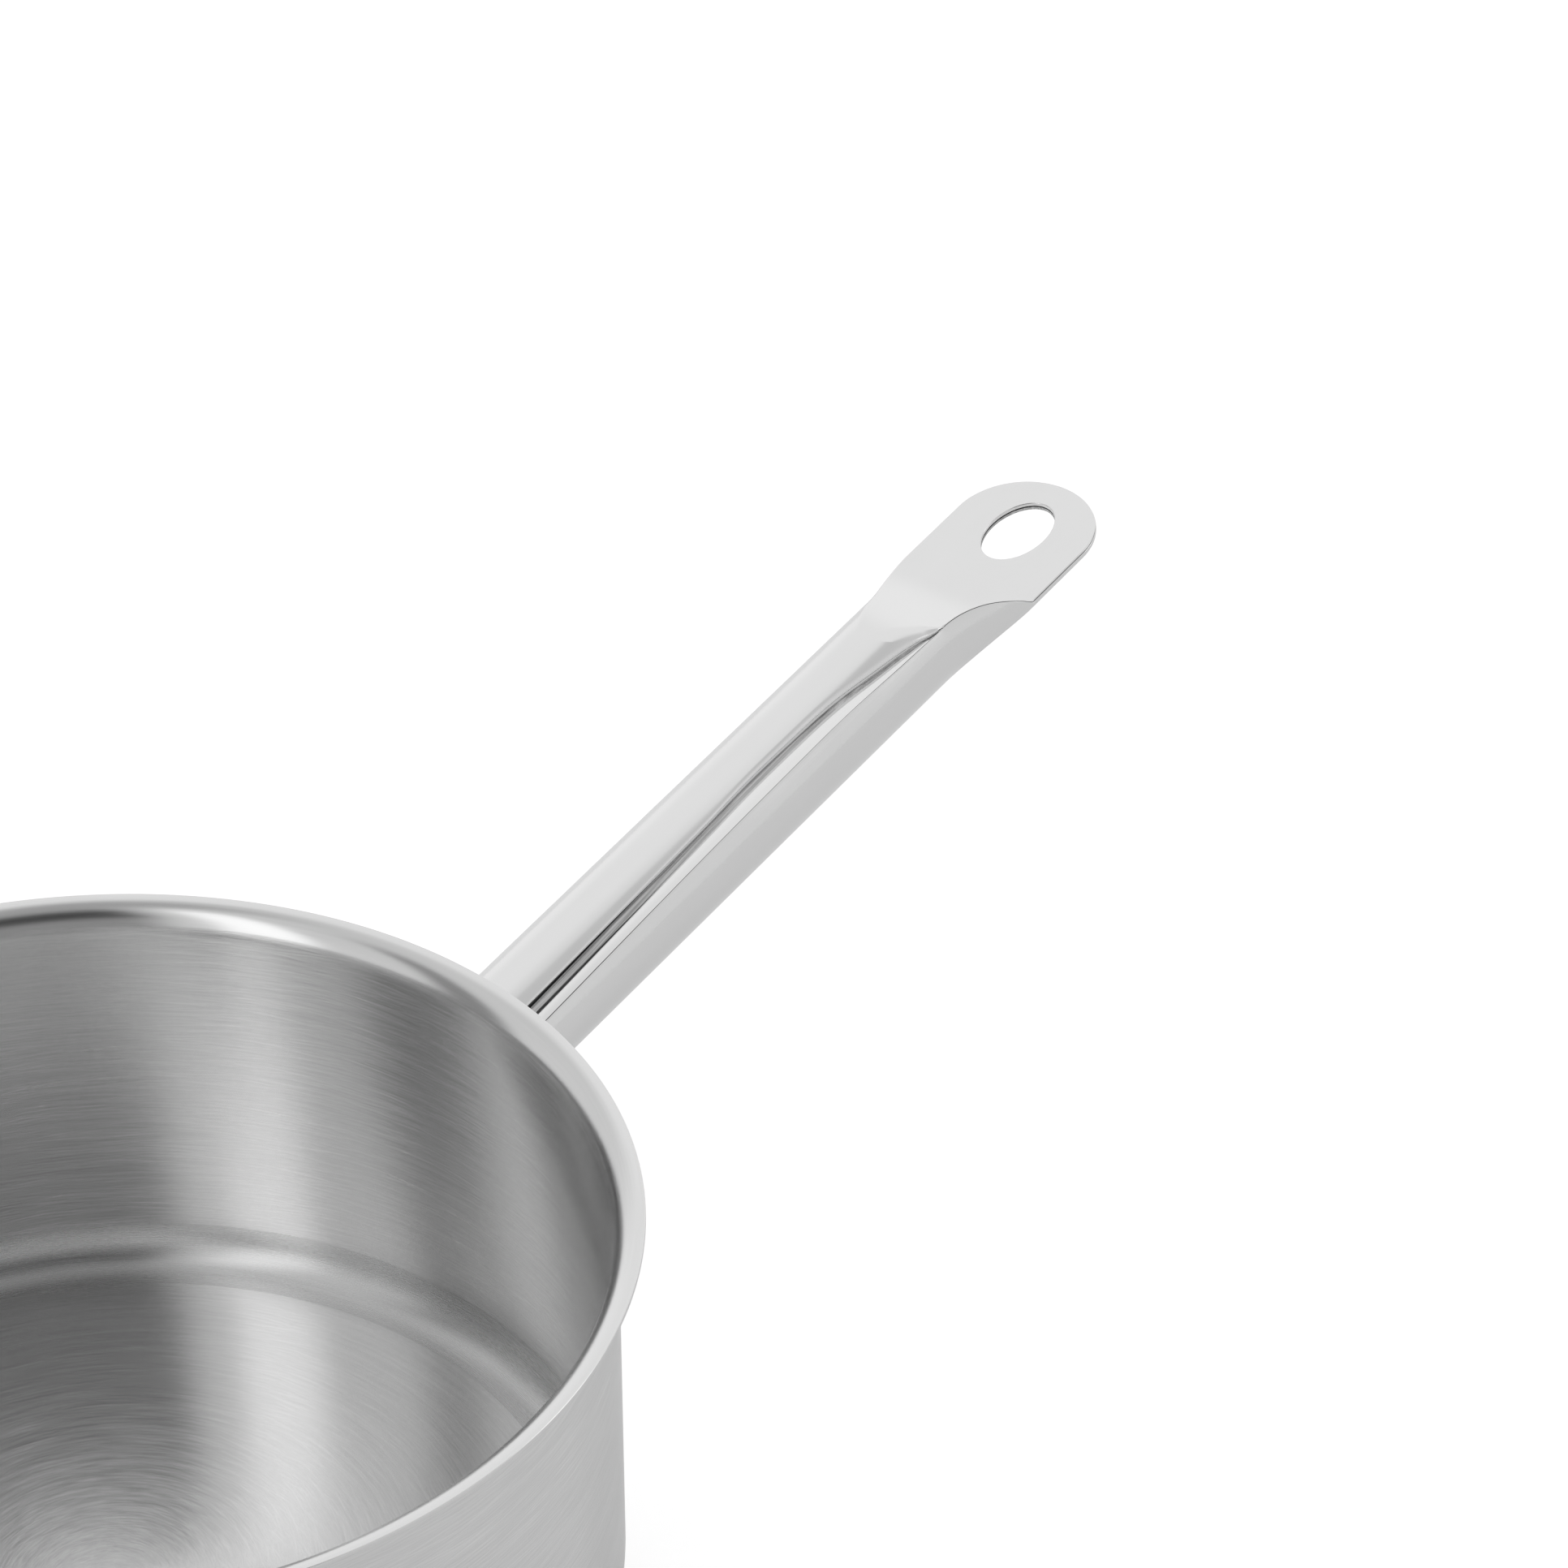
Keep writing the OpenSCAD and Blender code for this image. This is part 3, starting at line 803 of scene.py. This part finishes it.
def bare_metal(name, group, colour, roughness, bump, anisotropy=0.0, tint=(1, 1, 1)):
    """Bare metal with the looks of that node group.

    Colour and roughness hold their level, and bump its strength and its distance in mm. After these come
    (effect, share, middle) for each effect that moves them."""
    material = bpy.data.materials.new(name)
    material.use_nodes = True
    tree = material.node_tree
    shader = tree.nodes["Principled BSDF"]
    look = tree.nodes.new("ShaderNodeGroup")
    look.node_tree = group
    tree.links.new(tree.nodes.new("ShaderNodeTexCoord").outputs["Object"], look.inputs["Place"])
    grey = moved(tree, look, *colour)
    channels = [math_node(tree, "MULTIPLY", grey, value) for value in tint]
    tree.links.new(node(tree, "ShaderNodeCombineColor", *channels), shader.inputs["Base Color"])
    tree.links.new(moved(tree, look, *roughness), shader.inputs["Roughness"])
    strength, distance, *effects = bump
    raised = tree.nodes.new("ShaderNodeBump")
    raised.inputs["Strength"].default_value = strength
    raised.inputs["Distance"].default_value = distance * MM
    tree.links.new(moved(tree, look, 0.0, *effects), raised.inputs["Height"])
    tree.links.new(raised.outputs[0], shader.inputs["Normal"])
    shader.inputs["Metallic"].default_value = 1
    shader.inputs["Anisotropic"].default_value = anisotropy
    if anisotropy:
        tangent = node(tree, "ShaderNodeTangent", direction_type="RADIAL", axis="Z")
        tree.links.new(tangent, shader.inputs["Tangent"])
        shader.inputs["Anisotropic Rotation"].default_value = ACROSS_THE_LINES
    return material


round_lines = lines_round_the_pan()
long_lines = lines_along_the_handle()
pitted = pitted_skin()

wall_steel = bare_metal(
    "brushed_wall_steel", round_lines,
    colour=(0.84, ("Fine", 0.2, 0.5), ("Streaks", 0.08, 0.5), ("Scratches", 0.1, 0.3)),
    roughness=(0.21, ("Fine", 0.12, 0.5), ("Streaks", 0.06, 0.5), ("Scratches", 0.04, 0)),
    bump=(0.4, 0.005, ("Fine", 1, 0.5), ("Scratches", 0.25, 0)),
    anisotropy=0.97)
corner_steel = bare_metal(
    "satin_corner_steel", round_lines,
    colour=(0.76, ("Fine", 0.1, 0.5), ("Streaks", 0.1, 0.5)),
    roughness=(0.27, ("Fine", 0.1, 0.5), ("Streaks", 0.06, 0.5)),
    bump=(0.4, 0.006, ("Fine", 1, 0.5)),
    anisotropy=0.95)
rim_steel = bare_metal(
    "satin_rim_steel", round_lines,
    colour=(0.85, ("Fine", 0.04, 0.5), ("Streaks", 0.05, 0.5)),
    roughness=(0.2, ("Fine", 0.08, 0.5), ("Streaks", 0.08, 0.5), ("Patches", 0.06, 0.5)),
    bump=(0.4, 0.006, ("Fine", 1, 0.5), ("Streaks", 1, 0.5)),
    anisotropy=0.7)
floor_steel = bare_metal(
    "brushed_floor_steel", round_lines,
    colour=(0.84, ("Fine", 0.1, 0.5), ("Streaks", 0.12, 0.5), ("Scratches", 0.06, 0)),
    roughness=(0.2, ("Fine", 0.12, 0.5), ("Streaks", 0.1, 0.5), ("Patches", 0.06, 0.5)),
    bump=(0.5, 0.012, ("Fine", 1, 0.5), ("Streaks", 0.6, 0.5)),
    anisotropy=0.95)
turned_steel = bare_metal(
    "turned_underside_steel", round_lines,
    colour=(0.8, ("Fine", 0.12, 0.5), ("Streaks", 0.16, 0.5)),
    roughness=(0.28, ("Fine", 0.14, 0.5), ("Streaks", 0.14, 0.5), ("Patches", 0.08, 0.5)),
    bump=(0.6, 0.03, ("Fine", 1, 0.5), ("Streaks", 1, 0.5)),
    anisotropy=0.8)
handle_steel = bare_metal(
    "polished_handle_steel", long_lines,
    colour=(0.88, ("Fine", 0.03, 0.5), ("Patches", 0.03, 0.5)),
    roughness=(0.17, ("Fine", 0.06, 0.5), ("Patches", 0.1, 0.5)),
    bump=(0.3, 0.002, ("Fine", 1, 0.5), ("Patches", 8, 0.5)))
cut_steel = bare_metal(
    "sheared_edge_steel", long_lines,
    colour=(0.55, ("Strands", 0.9, 0.5), ("Fine", 0.4, 0.5)),
    roughness=(0.35, ("Fine", 0.2, 0.5)),
    bump=(0.6, 0.03, ("Strands", 1, 0.5), ("Fine", 1, 0.5)))
# Painted shade: a near-black copy of the steel for the seam's gap, the pressed edge, the right lip's edge
# row and the tab's sheet gap
gap_shade_steel = bare_metal(
    "painted_shade_gap_steel", long_lines,
    colour=(0.1, ("Strands", 0.1, 0.5), ("Fine", 0.06, 0.5)),
    roughness=(0.5, ("Fine", 0.2, 0.5)),
    bump=(0.4, 0.02, ("Strands", 1, 0.5)))
# Painted light: a lighter, smoother copy of the handle's steel, for the seam's floor on the grip
lit_seam_steel = bare_metal(
    "painted_light_seam_steel", long_lines,
    colour=(0.93, ("Fine", 0.03, 0.5)),
    roughness=(0.12, ("Fine", 0.05, 0.5), ("Patches", 0.05, 0.5)),
    bump=(0.3, 0.003, ("Fine", 1, 0.5)))
# Painted light: a near-white copy of the steel, for the upper sheet's wall in the hanging hole
lit_hole_steel = bare_metal(
    "painted_light_hole_steel", long_lines,
    colour=(0.96, ("Fine", 0.05, 0.5)),
    roughness=(0.5, ("Fine", 0.1, 0.5)),
    bump=(0.3, 0.006, ("Fine", 1, 0.5)))
core_alloy = bare_metal(
    "cast_core_aluminium", pitted,
    colour=(0.78, ("Fine", 0.1, 0.5), ("Dents", 0.08, 0.5)),
    roughness=(0.42, ("Fine", 0.16, 0.5)),
    bump=(0.5, 0.04, ("Fine", 1, 0.5), ("Dents", 1, 0.5)),
    tint=(1, 0.995, 0.98))
plate_steel = bare_metal(
    "satin_plate_steel", pitted,
    colour=(0.82, ("Fine", 0.06, 0.5), ("Dents", 0.04, 0.5)),
    roughness=(0.24, ("Fine", 0.12, 0.5), ("Dents", 0.08, 0.5)),
    bump=(0.4, 0.012, ("Fine", 1, 0.5), ("Dents", 2, 0.5)))
weld_steel = bare_metal(
    "ground_weld_steel", pitted,
    colour=(0.74, ("Fine", 0.14, 0.5), ("Dents", 0.16, 0.5)),
    roughness=(0.36, ("Fine", 0.2, 0.5), ("Dents", 0.12, 0.5)),
    bump=(0.7, 0.12, ("Fine", 0.6, 0.5), ("Dents", 2, 0.5)),
    tint=(1, 0.985, 0.955))

handle = rolled_handle(handle_steel, cut_steel, gap_shade_steel, lit_seam_steel, lit_hole_steel)
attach(handle, "root")
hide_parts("handle")

pan = spun_pan(wall_steel, rim_steel, floor_steel, corner_steel)
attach(pan, "root")
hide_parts("pan_body")

for name, finish in (("base_core", core_alloy), ("base_cap", turned_steel), ("root_plate", plate_steel),
                     ("weld_bead", weld_steel)):
    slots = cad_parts[name].data.materials
    slots.clear()
    slots.append(finish)


def on_panel(tree, direction, up, middle, half, soft, low, high):
    """One where the direction meets the panel, falling off over its soft edges."""
    x, y = parts(tree, turned(tree, direction, "Z_AXIS", -middle))[:2]
    away = math_node(tree, "ABSOLUTE", math_node(tree, "ARCTAN2", y, x))
    away = math_node(tree, "MULTIPLY", away, math.degrees(1))
    across = step(tree, away, half - soft, half + soft, 1.0, 0.0)
    above = step(tree, up, low - PANEL_SOFT_UP, low + PANEL_SOFT_UP)
    below = step(tree, up, high - PANEL_SOFT_UP, high + PANEL_SOFT_UP, 1.0, 0.0)
    return math_node(tree, "MULTIPLY", across, math_node(tree, "MULTIPLY", above, below))


def studio():
    """White light tent with its panels, which steel mirrors, while the camera itself sees plain white."""
    world = bpy.data.worlds.new("studio")
    bpy.context.scene.world = world
    world.use_nodes = True
    tree = world.node_tree
    direction = tree.nodes.new("ShaderNodeTexCoord").outputs["Generated"]
    height = parts(tree, direction)[2]
    up = math_node(tree, "MULTIPLY", math_node(tree, "ARCSINE", height), math.degrees(1))
    level = step(tree, up, 0, TENT_EVEN_FROM, TENT_FOOT, TENT_SIDE)
    level = mixed(tree, step(tree, up, TENT_TOP_FROM, TENT_TOP_FULL), level, TENT_TOP)
    for *place, brightness in PANELS:
        level = mixed(tree, on_panel(tree, direction, up, *place), level, brightness)
    path = tree.nodes.new("ShaderNodeLightPath")
    level = mixed(tree, seen_directly(tree, path), level, 1.0)
    background = tree.nodes["Background"]
    background.inputs["Color"].default_value = (1, 1, 1, 1)
    tree.links.new(level, background.inputs["Strength"])


def camera():
    """Camera at the photograph's place and angle."""
    data = bpy.data.cameras.new("camera")
    data.lens = LENS
    data.sensor_width = SENSOR_W
    data.clip_start = NEAREST_SEEN * MM
    data.clip_end = FURTHEST_SEEN * MM
    eye = bpy.data.objects.new("camera", data)
    eye.location = Vector(EYE) * MM
    eye.rotation_euler = Vector(LOOKING).to_track_quat("-Z", "Y").to_euler()
    bpy.context.scene.collection.objects.link(eye)
    bpy.context.scene.camera = eye


white_floor()
studio()
camera()
bpy.context.scene.view_settings.view_transform = "Standard"
